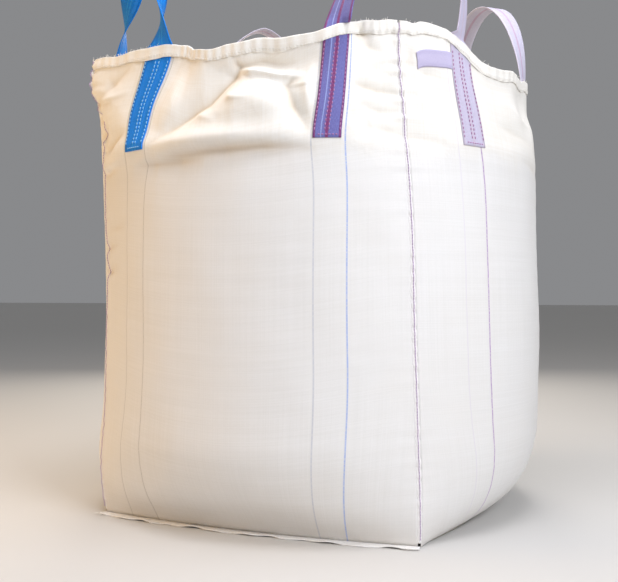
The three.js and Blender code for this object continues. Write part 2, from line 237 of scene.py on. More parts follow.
# Folds, in millimetres: where round the bag, height and how far outwards at each point along it, then
# the width of its slope below or right of the line and above or left of it.
folds = [(np.array(line) / 1000, below / 1000, above / 1000) for line, below, above in [
    ([(-200, 972, 0), (-120, 972, -12), (20, 980, -20), (120, 982, -17), (200, 978, -6),
      (270, 972, 0)], 50, 7),
    ([(-300, 957, 0), (-220, 957, -10), (-120, 957, -8), (-40, 952, 0)], 30, 8),
    ([(-250, 1000, 0), (-160, 1040, -12), (-40, 1125, -22), (30, 1205, -16), (50, 1235, 0)], 20, 42),
    ([(30, 1232, 0), (80, 1212, 18), (180, 1192, 15), (220, 1185, 0)], 8, 18),
    ([(20, 1262, 0), (40, 1238, -16), (100, 1240, -14), (200, 1230, 0)], 16, 12),
    ([(20, 1150, 0), (35, 1134, 8), (90, 1122, 0)], 8, 18),
    ([(0, 1060, 0), (-50, 1085, 6), (-90, 1090, 0)], 12, 26),
    ([(200, 1220, 0), (175, 1160, -14), (195, 1090, -18), (245, 1010, 0)], 22, 30),
    ([(235, 1240, 0), (222, 1160, 12), (235, 1080, 6), (250, 1040, 0)], 16, 16),
    ([(350, 1262, 0), (400, 1232, -10), (455, 1220, 0)], 9, 18),
    ([(340, 1136, 0), (380, 1128, -10), (440, 1120, -10), (505, 1114, 0)], 8, 18),
    ([(370, 1190, 0), (420, 1176, -5), (490, 1170, 0)], 8, 14),
    ([(360, 1085, 0), (430, 1066, -6), (520, 1062, 0)], 8, 14),
    ([(380, 1028, 0), (460, 1016, -5), (600, 1000, -4), (660, 985, 0)], 10, 18),
    ([(345, 1300, 0), (370, 1275, -20), (410, 1250, 0)], 22, 14),
    ([(560, 1180, 0), (600, 1168, -5), (660, 1165, 0)], 8, 12),
    ([(580, 1240, 0), (550, 1200, -5), (540, 1165, 0)], 10, 14),
    ([(-580, 1190, 0), (-500, 1165, -12), (-400, 1160, 0)], 12, 18),
    ([(-600, 1135, 0), (-510, 1125, -18), (-460, 1140, 0)], 12, 18),
    ([(-600, 1085, 0), (-480, 1080, -20), (-420, 1095, 0)], 12, 18),
    ([(-520, 1030, 0), (-420, 1032, -18), (-330, 1060, 0)], 14, 18),
    ([(-560, 985, 0), (-460, 975, 10), (-330, 978, 0)], 10, 20),
    ([(-540, 960, 0), (-450, 958, -8), (-340, 966, 0)], 8, 10),
    ([(-360, 1262, 0), (-420, 1215, -12), (-470, 1170, 0)], 20, 30),
    ([(-500, 1150, 0), (-420, 1175, 6), (-340, 1180, 0)], 6, 16),
    ([(-560, 752, 0), (-500, 750, -9), (-380, 752, 0)], 7, 14),
    ([(-600, 690, 0), (-500, 686, -10), (-370, 690, 0)], 7, 14),
    ([(-500, 800, 0), (-400, 803, -4), (-300, 800, 0)], 6, 12),
    ([(800, 1100, 0), (920, 1070, -4), (1060, 1050, 0)], 14, 22),
    ([(820, 1220, 0), (960, 1140, 5), (1160, 1120, 0)], 20, 30),
    ([(900, 990, 0), (1050, 978, -4), (1200, 975, 0)], 20, 12),
    ([(1420, 1180, 0), (1540, 1150, -8), (1660, 1160, 0)], 12, 20),
    ([(1400, 1090, 0), (1560, 1076, -8), (1720, 1085, 0)], 12, 18),
    ([(1800, 1010, 0), (1950, 970, -8), (2160, 962, -9), (2340, 985, 0)], 30, 10),
    ([(1860, 1210, 0), (2020, 1120, -10), (2120, 1020, 0)], 40, 22),
    ([(2260, 1200, 0), (2120, 1150, 8), (1980, 1160, 0)], 18, 30),
    ([(2440, 1160, 0), (2570, 1135, -10), (2700, 1150, 0)], 14, 20),
    ([(2460, 1070, 0), (2580, 1058, -9), (2720, 1072, 0)], 12, 18),
    ([(-1320, 985, 0), (-1100, 958, -8), (-860, 975, 0)], 28, 10),
    ([(-1280, 1190, 0), (-1140, 1110, -9), (-1000, 1060, 0)], 34, 20),
    ([(-780, 1220, 0), (-900, 1130, 8), (-1040, 1110, 0)], 22, 34),
]]

fold_gain = 1.35  # every fold is this much deeper than listed

# Ripples: for each, its phase, how many go round the bag and how steeply it climbs.
rng = np.random.default_rng(7)
wave_count = 48
wave_phase = rng.uniform(0, 2 * np.pi, wave_count)
wave_turns = rng.integers(6, 34, wave_count)
wave_rise = rng.uniform(-28, 28, wave_count)


def round_from(s, start):
    """Distance round the bag from start, between minus and plus half way round."""
    return (s - start + 2 * panel_width) % (4 * panel_width) - 2 * panel_width


def fold_depth(points, below, above, s, z):
    """Push of one fold: along a line of straight pieces, a crest with a different slope each side."""
    best = np.full(np.shape(s), 1e9)
    push = np.zeros(np.shape(s))
    for (s1, z1, h1), (s2, z2, h2) in zip(points, points[1:]):
        off = round_from(s, s1)
        ds, dz = s2 - s1, z2 - z1
        length = np.hypot(ds, dz)
        t = np.clip((off * ds + (z - z1) * dz) / length ** 2, 0, 1)
        away = np.hypot(off - t * ds, z - z1 - t * dz)
        side = (z - z1) * ds - off * dz
        reach = np.where(side * np.sign(ds + 1e-9) > 0, above, below)
        here = (h1 + (h2 - h1) * t) * np.exp(-(np.sqrt(away ** 2 + 0.003 ** 2) - 0.003) / reach)
        push = np.where(away < best, here, push)
        best = np.minimum(best, away)
    return push


def near_strap(s, z):
    """1 under the sewn webbing and close to it, 0 elsewhere."""
    across = (s + half_width) % panel_width - half_width
    beside = np.abs(np.abs(across) - strap_across)
    return ease(1.6 - beside / strap_half * 0.9) * ease((z - leg_foot + 0.04) / 0.04)


def drape(s, z):
    """How far the cloth stands outwards from its plain shape: swells, folds, ripples, puckers 36 and 23
    mm apart beside the corner seams, and faint rings 52 mm apart where the cloth is tight."""
    push = np.zeros(np.shape(s))
    for s0, z0, wide, tall, out in swells:
        push += out * hump(round_from(s, s0) / wide) * hump((z - z0) / tall)
    soft = 1 - 0.75 * near_strap(s, z)
    for points, below, above in folds:
        push += fold_gain * soft * fold_depth(points, below, above, s, z)
    corner = np.abs((s % panel_width) - half_width)
    slack = ease((z - fill_height - 0.02) / 0.12)
    ripple = np.zeros(np.shape(s))
    for k in range(wave_count):
        turn = 2 * np.pi * wave_turns[k] / (4 * panel_width)
        ripple += np.sin(turn * s + wave_rise[k] * z + wave_phase[k]) / (6 + wave_turns[k])
    pucker = np.sin(2 * np.pi * z / 0.036 + 2 * np.sin(9 * z + np.floor(s / panel_width)))
    pucker += 0.7 * np.sin(2 * np.pi * z / 0.023 + 3 * np.sin(13 * z))
    push += ripple * (0.0022 + 0.0075 * slack * soft)
    push += soft * pucker * np.exp(-corner / 0.04) * (0.0007 + 0.0018 * slack)
    tight = np.sin(2 * np.pi * z / 0.052 + 1.5 * np.sin(5 * s) + 2 * np.sin(3.1 * z))
    push += 0.00025 * tight * ease(z / 0.1) * (1 - slack)
    return push * ease(z / 0.05)


def skin(face, across, z):
    """Outside of the cloth. face 0 is the front, then the right, the back and the left; across is
    metres from the face's middle and z the height along a corner seam. Each level is a circular arc
    over a chord between two corners, with the arc's length equal to the panel's flat width."""
    across, z = np.broadcast_arrays(np.asarray(across, float), np.asarray(z, float))
    up = ease((z - fill_height) / (rim_height - fill_height))
    low = np.clip(z / curl_height, 0, 1)
    c = np.where(z < curl_height, base_half + (belly_corner - base_half) * ease(low),
                 belly_corner + (rim_half - belly_corner) * up)
    near, far = np.full(z.shape, 1e-3), c.copy()
    for _ in range(34):  # halves the gap until the arc is as long as the panel is wide
        s = (near + far) / 2
        arc = 2 * (c * c + s * s) / s * np.arctan2(s, c)
        near, far = np.where(arc < panel_width, s, near), np.where(arc < panel_width, far, s)
    if face % 2:
        curl = fold_reach + (belly - fold_reach) * np.sqrt(1 - (1 - low) ** 2)
    else:
        curl = seam_reach + (belly - seam_reach) * np.sin(low * np.pi / 2)
    s = np.where(z >= curl_height, (near + far) / 2, np.maximum(curl - c, 5e-4))
    radius = (c * c + s * s) / (2 * s)
    angle = 2 * across / half_width * np.arctan2(s, c)
    x = radius * np.sin(angle)
    y = radius - (c + s) - radius * np.cos(angle)
    sag = rim_sag * np.cos(np.minimum(1, np.abs(across) / half_width) * np.pi / 2) ** 2
    turn = face * np.pi / 2
    x, y = x * np.cos(turn) - y * np.sin(turn), x * np.sin(turn) + y * np.cos(turn)
    round_bag = face * panel_width + across
    out = drape(round_bag, z)
    drift = np.zeros(z.shape)
    for s0, z0, wide, tall, along in drifts:
        drift += along * hump(round_from(round_bag, s0) / wide) * hump((z - z0) / tall) * ease(z / 0.3)
    reach = np.hypot(x, y)
    unit_x, unit_y = x / reach, y / reach
    rim_wave = 0.0025 * np.sin(23 * round_bag) + 0.0014 * np.sin(67 * round_bag + 1) - 0.005
    for s0, wide, down in slumps:
        rim_wave = rim_wave - down * hump(round_from(round_bag, s0) / wide)
    return np.stack([x + unit_x * out - unit_y * drift, y + unit_y * out + unit_x * drift,
                     z - sag * up + rim_wave * up], -1)


def facing(face, across, z):
    """Outward direction of the cloth, from the slopes of skin across and up."""
    step = 0.002
    u = skin(face, across + step, z) - skin(face, across - step, z)
    v = skin(face, across, z + step) - skin(face, across, np.maximum(z - step, 0))
    return unit(np.cross(u, v))


def slopes_to_normal(points):
    """Unit normals of a grid of points, rows by columns, from its central differences."""
    n = np.cross(np.gradient(points, axis=1), np.gradient(points, axis=0))
    return n / np.maximum(np.linalg.norm(n, axis=-1, keepdims=True), 1e-12)


def closed_sheet(name, outer, inner, uv, material, ring=False):
    """A mesh between two grids of points, rows by columns, joined all round their edges. uv gives
    each point its place on the flat cloth, in metres. In a ring, the last column joins the first and
    the first row is all one point."""
    rows, columns = outer.shape[:2]
    points = np.concatenate([outer.reshape(-1, 3), inner.reshape(-1, 3)])
    grid = np.arange(rows * columns).reshape(rows, columns)
    if ring:
        grid = np.concatenate([grid, grid[:, :1]], 1)
    a, b, c, d = grid[:-1, :-1], grid[:-1, 1:], grid[1:, 1:], grid[1:, :-1]
    front = np.stack([a, b, c, d], -1).reshape(-1, 4)
    back = front[:, ::-1] + rows * columns
    if ring:
        edge, after = grid[-1, 1:], grid[-1, :-1]
    else:
        edge = np.concatenate([grid[0, :], grid[1:, -1], grid[-1, -2::-1], grid[-2:0:-1, 0]])
        after = np.roll(edge, -1)
    rim = np.stack([after, edge, edge + rows * columns, after + rows * columns], -1)
    faces = np.concatenate([front, back, rim])
    mesh = bpy.data.meshes.new(name)
    mesh.vertices.add(len(points))
    mesh.vertices.foreach_set("co", points.ravel())
    mesh.loops.add(faces.size)
    mesh.loops.foreach_set("vertex_index", faces.ravel())
    mesh.polygons.add(len(faces))
    mesh.polygons.foreach_set("loop_start", np.arange(0, faces.size, 4))
    mesh.polygons.foreach_set("loop_total", np.full(len(faces), 4))
    mesh.polygons.foreach_set("use_smooth", np.ones(len(faces), bool))
    place = np.tile(uv.reshape(-1, 2), (2, 1))[faces.ravel()]
    mesh.uv_layers.new(name="cloth").data.foreach_set("uv", place.ravel())
    mesh.materials.append(material)
    mesh.update(calc_edges=True)
    mesh.validate()
    if ring:
        form = bmesh.new()
        form.from_mesh(mesh)
        bmesh.ops.remove_doubles(form, verts=form.verts, dist=1e-6)
        form.to_mesh(mesh)
        form.free()
    piece = bpy.data.objects.new(name, mesh)
    bpy.context.collection.objects.link(piece)
    return piece


def woven_polypropylene(name, yarns):
    """Woven polypropylene tape: a plain weave of flat tapes, each a little different, which gives faint
    lines both ways, a satin shine and single coloured marker yarns. Real tapes are 2.5 mm wide. Cloth with
    no granulate behind it is crumpled and has painted light, lighter and creamier, and deep folds have
    painted shade, browner. Each yarn is its place across the panel, width, colour and strength."""
    material, tree, shader = blank_material(name)
    uv = add_node(tree, "ShaderNodeUVMap", uv_map="cloth").outputs[0]
    warp_map = add_node(tree, "ShaderNodeMapping", {"Scale": (330, 2.2, 1)}, {"Vector": uv})
    weft_map = add_node(tree, "ShaderNodeMapping", {"Scale": (2.2, 330, 1)}, {"Vector": uv})
    warp = speckle(tree, warp_map.outputs[0], 1.0, 2.0, 0.6)
    weft = speckle(tree, weft_map.outputs[0], 1.0, 2.0, 0.6)
    blotch = speckle(tree, uv, 4.0, 5.0, 0.6)
    tapes = add_node(tree, "ShaderNodeTexBrick",
                     {"Color1": (1, 1, 1, 1), "Color2": (0.72, 0.72, 0.72, 1), "Mortar": (0, 0, 0, 1),
                      "Scale": 1.0, "Mortar Size": 0.0002, "Mortar Smooth": 0.6,
                      "Brick Width": 2 * tape_width, "Row Height": tape_width}, {"Vector": uv})
    both = worked_out(tree, "ADD", warp, weft)
    tone = ranged(tree, both, 0.75, 1.25)
    place = add_node(tree, "ShaderNodeTexCoord")
    split = add_node(tree, "ShaderNodeSeparateXYZ", links={0: place.outputs["Object"]})
    uneven = worked_out(tree, "MULTIPLY_ADD", blotch, 0.16, split.outputs["Z"])
    empty = ranged(tree, uneven, fill_height + 0.05, fill_height + 0.15, interpolation_type="SMOOTHSTEP")
    backed = mixed(tree, tone, linear("#e9e7e3"), linear("#efedea"))
    # Painted light: cloth with no granulate behind it is lighter and creamier, as if lit through from inside
    # the open mouth.
    loose = mixed(tree, tone, linear("#f7f2e8"), linear("#fcf9f2"))
    stain = ranged(tree, blotch, 0.42, 0.75, 0.0, 0.16)
    aged = mixed(tree, stain, mixed(tree, empty, backed, loose), linear("#e4dccf"))
    # Browner towards the foot of the bag, in patches of the blotch noise.
    foot = ranged(tree, split.outputs["Z"], 0.0, 0.10, 0.5, 0.0)
    browner_foot = mixed(tree, worked_out(tree, "MULTIPLY", foot, blotch), aged, linear("#b7a894"))
    mark = add_node(tree, "ShaderNodeAttribute", attribute_name="painted_crease_shade")
    # Painted shade: browner cloth along the bottoms of the folds, by the point attribute of each panel.
    fold_shaded = mixed(tree, worked_out(tree, "MULTIPLY", mark.outputs["Fac"], 0.38), browner_foot, linear("#c9a873"))
    weave = mixed(tree, 0.045, fold_shaded, tapes.outputs["Color"], "MULTIPLY")
    across = add_node(tree, "ShaderNodeSeparateXYZ", links={0: uv})
    share = ranged(tree, across.outputs["X"], -half_width, half_width)
    ramp = add_node(tree, "ShaderNodeValToRGB", links={"Fac": share})
    ramp.color_ramp.interpolation = "CONSTANT"
    ramp.color_ramp.elements[0].color = (1, 1, 1, 0)
    ramp.color_ramp.elements[1].color = (1, 1, 1, 0)
    for middle, width, colour, strength in yarns:
        start = (middle - width / 2 + half_width) / panel_width
        on = ramp.color_ramp.elements.new(start)
        on.color = (*linear(colour)[:3], strength)
        off = ramp.color_ramp.elements.new(start + width / panel_width)
        off.color = (*linear(colour)[:3], 0)
    broken = ranged(tree, weft, 0.3, 0.55, 0.45)
    shown = worked_out(tree, "MULTIPLY", ramp.outputs["Alpha"], broken)
    tree.links.new(mixed(tree, shown, weave, ramp.outputs["Color"]), shader.inputs["Base Color"])
    tree.links.new(ranged(tree, both, 0.0, 1.0, 0.44, 0.62), shader.inputs["Roughness"])
    bump_lines = bumped(tree, both, 0.14, 0.0005)
    wander = add_node(tree, "ShaderNodeTexNoise", {"Scale": 5.0, "Detail": 3.0}, {"Vector": uv})
    bent = add_node(tree, "ShaderNodeVectorMath", {1: (0.12, 0.09, 0)},
                    {0: wander.outputs["Color"], 2: uv}, operation="MULTIPLY_ADD")
    facets = add_node(tree, "ShaderNodeTexVoronoi", {"Scale": 8.0}, {"Vector": bent.outputs[0]})
    small = add_node(tree, "ShaderNodeTexVoronoi", {"Scale": 21.0}, {"Vector": bent.outputs[0]})
    crumple = worked_out(tree, "MULTIPLY_ADD", small.outputs["Distance"], 0.3, facets.outputs["Distance"])
    bump_slack = bumped(tree, worked_out(tree, "MULTIPLY", crumple, empty), 0.5, 0.010, bump_lines)
    bump = bumped(tree, tapes.outputs["Color"], 0.35, 0.0004, bump_slack)
    tree.links.new(bump, shader.inputs["Normal"])
    shader.inputs["IOR"].default_value = 1.49
    shader.inputs["Sheen Weight"].default_value = 0.08
    shader.inputs["Sheen Roughness"].default_value = 0.4
    return material


side_yarns = [(-0.334, 0.003, "#b3b0ac", 0.45), (-0.250, 0.0035, "#a8a39c", 0.45),
              (0.250, 0.003, "#a9adc0", 0.45), (0.334, 0.0035, "#8aa4e4", 0.75)]
u_yarns = [(-0.268, 0.004, "#b48fc0", 0.9), (-0.345, 0.002, "#d6cbdc", 0.3),
           (0.262, 0.004, "#b48fc0", 0.9), (0.345, 0.002, "#d6cbdc", 0.3)]
side_cloth = woven_polypropylene("woven_polypropylene_side", side_yarns)
hem_cloth = woven_polypropylene("woven_polypropylene_hem", [])
u_cloth = woven_polypropylene("woven_polypropylene_u_panel", u_yarns)


def on_flat(u, z, gathered):
    """Place across the flat cloth. Near the base the left half is gathered by this share of its width,
    and the right half is spread a little."""
    return u * (1 - np.where(u < 0, gathered, -0.07) * (1 - ease(z / 0.45)))


def painted_crease_shade(piece, s, z):
    """Marks the bottoms of the folds on a panel, as a point attribute that paints shade on its cloth, browner
    in the deep folds.
    """
    depth = np.zeros(np.shape(s))
    for points, below, above in folds:
        depth += fold_depth(points, min(below, 0.011), min(above, 0.006), s, z)
    mark = piece.data.attributes.new("painted_crease_shade", "FLOAT", "POINT")
    mark.data.foreach_set("value", np.tile(np.clip(-depth / 0.016, 0, 1).ravel(), 2))


heights = np.concatenate([np.linspace(0.005, 0.30, 36), np.linspace(0.31, 0.90, 50),
                          np.linspace(0.906, rim_height, 72)])
for face, name in ((0, "front"), (2, "back")):
    u, z = np.meshgrid(np.linspace(panel_edge - half_width, half_width - panel_edge, 190), heights)
    outer = skin(face, u, z)
    rise = np.cumsum(np.linalg.norm(np.diff(outer, axis=0, prepend=outer[:1]), axis=-1), axis=0)
    inner = outer - cloth_thickness * facing(face, u, z)
    panel = closed_sheet("cloth_" + name, outer, inner, np.stack([on_flat(u, z, 0.17), rise], -1), side_cloth)
    painted_crease_shade(panel, face * panel_width + u, z)
    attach(panel, "bag")
    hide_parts("side_panel_" + name)

wall = np.concatenate([np.linspace(0, 0.30, 34), np.linspace(0.312, 0.90, 46),
                       np.linspace(0.907, rim_height, 56)])
u = np.linspace(panel_edge - half_width, half_width - panel_edge, 150)
right = skin(1, *np.meshgrid(u, wall[::-1]))
left = skin(3, *np.meshgrid(-u, wall))
share = np.linspace(1, -1, 32)[1:-1]
fold_line = skin(1, u, 0.0)
seam_line = skin(0, share * half_width, 0.0)
base_x = seam_line[:, None, 0] + share[:, None] * (fold_line[None, :, 0] - base_half)
base_y = fold_line[None, :, 1] - (u / half_width)[None, :] * (seam_line[:, None, 1] + base_half)
base = np.stack([base_x, base_y, np.zeros(base_x.shape)], -1)
outer = np.concatenate([right, base, left])
inward = slopes_to_normal(outer)
inner = outer + cloth_thickness * inward
along = np.cumsum(np.linalg.norm(np.diff(outer[:, 75], axis=0, prepend=outer[:1, 75]), axis=-1))
level = np.concatenate([wall[::-1], np.zeros(len(share)), wall])
place = np.stack(np.broadcast_arrays(on_flat(*np.meshgrid(u, level), -0.09), along[:, None]), -1)
u_panel = closed_sheet("cloth_u_panel", inner, outer, place, u_cloth)
round_bag = np.concatenate([np.tile(panel_width + u, (len(wall) + len(share), 1)),
                            np.tile(3 * panel_width - u, (len(wall), 1))])
painted_crease_shade(u_panel, round_bag, np.tile(level[:, None], (1, len(u))))
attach(u_panel, "bag")
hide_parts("u_panel")

# Lift loops: one length of polypropylene webbing, 70 mm wide, across each corner
# Each end is sewn 300 mm down the cloth under the hem, and the free part stands up as a loop that
# twists on its way from one side of the corner to the other.
loop_rise = 0.318
web_thickness = 0.0026
web_gap = 0.0004  # between the webbing and the cloth under it, and between its face and the stitches
leg_rows, loop_rows = 56, 120
twist_share = 0.44  # how much of the loop's length each half of its twist takes up
corner_names = ["front_right", "back_right", "back_left", "front_left"]
side_names = ["front", "right", "back", "left"]


def webbing(name, ground, shade, stripes, fleck, painted_light_end=None):
    """Polypropylene webbing: fine cross ribs with a herringbone lean, and coloured warp stripes.
    stripes lists the middle, width and colour of each, as shares of the width. The last argument is painted
    light: a paler colour that the far end has where bright light falls on it, and where along the webbing it
    starts and is complete."""
    material, tree, shader = blank_material(name)
    uv = add_node(tree, "ShaderNodeUVMap", uv_map="cloth").outputs[0]
    split = add_node(tree, "ShaderNodeSeparateXYZ", links={0: uv})
    share = worked_out(tree, "MULTIPLY", split.outputs["X"], 1 / (2 * strap_half))
    ramp = add_node(tree, "ShaderNodeValToRGB", links={"Fac": worked_out(tree, "ADD", share, 0.5)})
    ramp.color_ramp.interpolation = "LINEAR"
    ramp.color_ramp.elements[0].color = linear(ground)
    ramp.color_ramp.elements[1].color = linear(ground)
    for middle, width, colour in stripes:
        for offset, tone in ((-0.65, ground), (-0.4, colour), (0.4, colour), (0.65, ground)):
            spot = middle + offset * width
            if 0 < spot < 1:
                ramp.color_ramp.elements.new(spot).color = linear(tone)
    grain_map = add_node(tree, "ShaderNodeMapping", {"Scale": (700, 140, 1)}, {"Vector": uv})
    grain = speckle(tree, grain_map.outputs[0], 1.0, 3.0, 0.7)
    lit = mixed(tree, ranged(tree, grain, 0.55, 0.72, 0.0, 0.55), ramp.outputs["Color"], linear(fleck))
    colour = mixed(tree, ranged(tree, grain, 0.45, 0.28, 0.0, 0.6), lit, linear(shade))
    # Painted light: the far end turns paler, where the webbing lies on the brightly lit side.
    if painted_light_end:
        highlight_colour, start, end = painted_light_end
        colour = mixed(tree, ranged(tree, split.outputs["Y"], start, end, 0.0, 0.8), colour, linear(highlight_colour))
    tree.links.new(colour, shader.inputs["Base Color"])
    lean = worked_out(tree, "PINGPONG", split.outputs["X"], strap_half / 4)
    rib_pitch = 0.0024
    skew = worked_out(tree, "ADD", split.outputs["Y"], lean)
    ribs = worked_out(tree, "MULTIPLY", skew, 2 * np.pi / rib_pitch)
    rough = worked_out(tree, "ADD", worked_out(tree, "SINE", ribs), grain)
    tree.links.new(bumped(tree, rough, 0.6, 0.0006), shader.inputs["Normal"])
    shader.inputs["Roughness"].default_value = 0.58
    shader.inputs["IOR"].default_value = 1.49
    shader.inputs["Specular IOR Level"].default_value = 0.25
    shader.inputs["Sheen Weight"].default_value = 0.03
    shader.inputs["Sheen Roughness"].default_value = 0.35
    return material


blue_web = webbing("blue_polypropylene_webbing", "#0088ee", "#0068c4",
                   [(0.42, 0.04, "#2ba2f2"), (0.58, 0.04, "#2ba2f2"), (0.06, 0.06, "#0074d4"),
                    (0.94, 0.06, "#0074d4")], "#12a0f8")
# The violet webbing has painted light: paler along its far end, on the brightly lit right side.
violet_web = webbing("violet_polypropylene_webbing", "#7d7cc0", "#5d5a9e",
                     [(0.05, 0.08, "#8d4a86"), (0.50, 0.10, "#93487f"), (0.95, 0.08, "#8d4a86"),
                      (0.30, 0.04, "#a3b0e6")], "#9fb0ea", ("#e8e0f0", 0.30, 0.80))
pale_web = webbing("pale_polypropylene_webbing", "#ddd8ec", "#c9c1de",
                   [(0.50, 0.12, "#d6bcd6"), (0.06, 0.08, "#e6e2f2"), (0.94, 0.08, "#e6e2f2")], "#f3f1fa")

# For each loop: how far its crown is moved along the chord, outwards and up, how pointed it is, how
# many half turns it twists through, and how slowly the twist starts up its first and its last leg.
loop_shapes = {
    "front_right": (0.070, 0.00, -0.006, 1.15, -0.5, 0.5, 3.0),
    "back_right": (-0.02, -0.02, -0.022, 1.00, -0.5, 1.15, 1.15),
    "back_left": (-0.03, 0.00, 0.020, 1.25, -0.5, 1.15, 1.15),
    "front_left": (0.01, -0.01, -0.010, 1.35, 1.5, 2.0, 0.65),
}
web_materials = {"front_right": violet_web, "back_right": pale_web, "back_left": pale_web,
                 "front_left": blue_web}


def leg(face, middle, rows):
    """Centre points, widths and outward directions of webbing that lies on the cloth."""
    centre = skin(face, middle, rows) + facing(face, middle, rows) * (web_gap + web_thickness / 2)
    wide = skin(face, middle + strap_half, rows) - skin(face, middle - strap_half, rows)
    return centre, unit(wide)


def lift_loop(corner):
    """Centre points and width directions of one length of webbing: up the first side, round a half
    ellipse whose cosine is raised to a power so that its legs lean together, and down the next side."""
    name = corner_names[corner]
    along, out, up, point, twist, slow_first, slow_last = loop_shapes[name]
    sewn = np.linspace(leg_foot, rim_height, leg_rows)
    first, first_wide = leg(corner, strap_across, sewn)
    last, last_wide = leg((corner + 1) % 4, -strap_across, sewn)
    t = np.linspace(0, 1, loop_rows + 2)[1:-1]
    cosine = np.cos(np.pi * t)
    start = first[-1] + (0, 0, 0.004)
    chord = last[-1] + (0, 0, 0.004) - start
    outward = np.array([chord[1], -chord[0], 0]) / np.linalg.norm(chord[:2])
    share = (1 - np.sign(cosine) * np.abs(cosine) ** point) / 2
    crown = np.sin(np.pi * t)
    arch = start + share[:, None] * chord + (crown * along)[:, None] * chord / np.linalg.norm(chord)
    arch += (crown * out)[:, None] * outward
    arch[:, 2] += (loop_rise + up) * np.sin(np.pi * t)
    ahead = unit(np.gradient(arch, axis=0))
    eased_first = np.sin(np.clip(t / twist_share, 0, 1) * np.pi / 2) ** slow_first
    eased_last = np.sin(np.clip((1 - t) / twist_share, 0, 1) * np.pi / 2) ** slow_last
    turn = twist / 2 * np.pi * np.where(t < 0.5, eased_first, 2 - eased_last)
    flat = corner * np.pi / 2
    wide = np.stack([np.cos(turn + flat), np.sin(turn + flat), np.zeros(len(t))], -1)
    wide = unit(wide - ahead * np.sum(wide * ahead, -1, keepdims=True))
    centre = np.concatenate([first, arch, last[::-1]])
    return centre, np.concatenate([first_wide, wide, -last_wide[::-1]])


for corner, name in enumerate(corner_names):
    centre, wide = lift_loop(corner)
    after = (corner + 1) % 4
    shares = np.linspace(-1, 1, 13)
    body = centre[:, None] + shares[None, :, None] * strap_half * wide[:, None]
    z = np.linspace(leg_foot, rim_height, leg_rows)
    lift = web_gap + web_thickness / 2
    flat = np.meshgrid(strap_across + shares * strap_half, z)
    body[:leg_rows] = skin(corner, *flat) + lift * facing(corner, *flat)
    flat = np.meshgrid(-strap_across + shares * strap_half, z)
    body[-leg_rows:] = (skin(after, *flat) + lift * facing(after, *flat))[::-1, ::-1]
    length = np.cumsum(np.linalg.norm(np.diff(centre, axis=0, prepend=centre[:1]), axis=-1))
    place = np.stack(np.broadcast_arrays(shares[None] * strap_half, length[:, None]), -1)
    normal = slopes_to_normal(body)
    strap = closed_sheet("webbing_" + name, body + normal * web_thickness / 2,
                         body - normal * web_thickness / 2, place, web_materials[name])
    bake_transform(strap)
    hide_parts("lift_loop_" + name, "sewn_leg_%s_%s" % (name, side_names[corner]),
                "sewn_leg_%s_%s" % (name, side_names[after]))

# Top hem: the cloth folded outwards along the rim and sewn down over the webbing
# It is the same woven cloth, doubled, and gathered a little by its stitches.
hem_height = 0.030


def gathers(round_bag):
    """How far the hem stands off in small gathers about 31 mm apart."""
    return 0.0011 * (1 + np.sin(2 * np.pi * round_bag / 0.031 + 2 * np.sin(13 * round_bag)))


# Its section: height above the rim in hem heights, distance outwards, and 1 where it lies inside the rim.
hem_section = [
    (-0.10, -0.0029, 1), (-0.02, -0.0031, 1), (0.05, -0.0010, 0.5), (0.05, 0.0008, 0.5), (0.01, 0.0014, 0.2),
    (-0.04, 0.0015, 0), (-0.10, 0.0015, 0), (-0.4, 0.0015, 0), (-0.7, 0.0014, 0), (-0.90, 0.0013, 0),
    (-0.97, 0.0013, 0), (-1.0, 0.0010, 0),
]
hem_across = np.linspace(0.004 - half_width, half_width - 0.004, 240)
from_strap = np.abs(np.abs(hem_across) - strap_across) / strap_half
over_strap = (web_thickness + 0.0006) * ease(1.8 - from_strap * 1.1)
for face, name in enumerate(side_names):
    round_bag = face * panel_width + hem_across
    depth = hem_height + 0.003 * np.sin(17 * round_bag) + 0.002 * np.sin(41 * round_bag + 2)
    lift = 0.0001 + over_strap + gathers(round_bag)
    outer, inner = [], []
    for drop, off, inside in hem_section:
        z = np.minimum(rim_height + drop * depth, rim_height)
        reach = off + lift * (1 - inside)
        n = facing(face, hem_across, z)
        p = skin(face, hem_across, z)
        p[:, 2] += np.maximum(0, drop * depth)
        outer.append(p + n * reach[:, None])
        inner.append(p + n * (reach - 0.0012 * (1 - 2 * (inside == 1)))[:, None])
    outer, inner = np.array(outer)[::-1], np.array(inner)[::-1]
    v = np.array([drop for drop, off, inside in hem_section])[::-1] * hem_height
    place = np.stack(np.broadcast_arrays(hem_across[None], v[:, None]), -1)
    hem = closed_sheet("hem_" + name, outer, inner, place, hem_cloth)
    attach(hem, "bag")
    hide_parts("top_hem_" + name)

# Corner seams: the panel edges turned inwards and chain stitched from rim to base
# The seam puckers the cloth and shows outside as a thin ridge with mauve thread along it.
seam_cloth, tree, shader = blank_material("puckered_polypropylene_seam")
place = add_node(tree, "ShaderNodeTexCoord")
bits = speckle(tree, place.outputs["Object"], 160.0)
tree.links.new(mixed(tree, bits, linear("#efebe9"), linear("#f8f6f2")), shader.inputs["Base Color"])
tree.links.new(bumped(tree, bits, 0.5, 0.0008), shader.inputs["Normal"])
shader.inputs["Roughness"].default_value = 0.7

seam_z = np.linspace(0.012, rim_height - 0.004, 330)
seam_turned_in = 0.022
pucker_pitch = 0.017


def corner_line(corner):
    """Points up the line of a corner seam, and the level directions away from the middle of the bag."""
    tip = skin(corner, half_width, seam_z)
    return tip, unit(tip * (1, 1, 0))


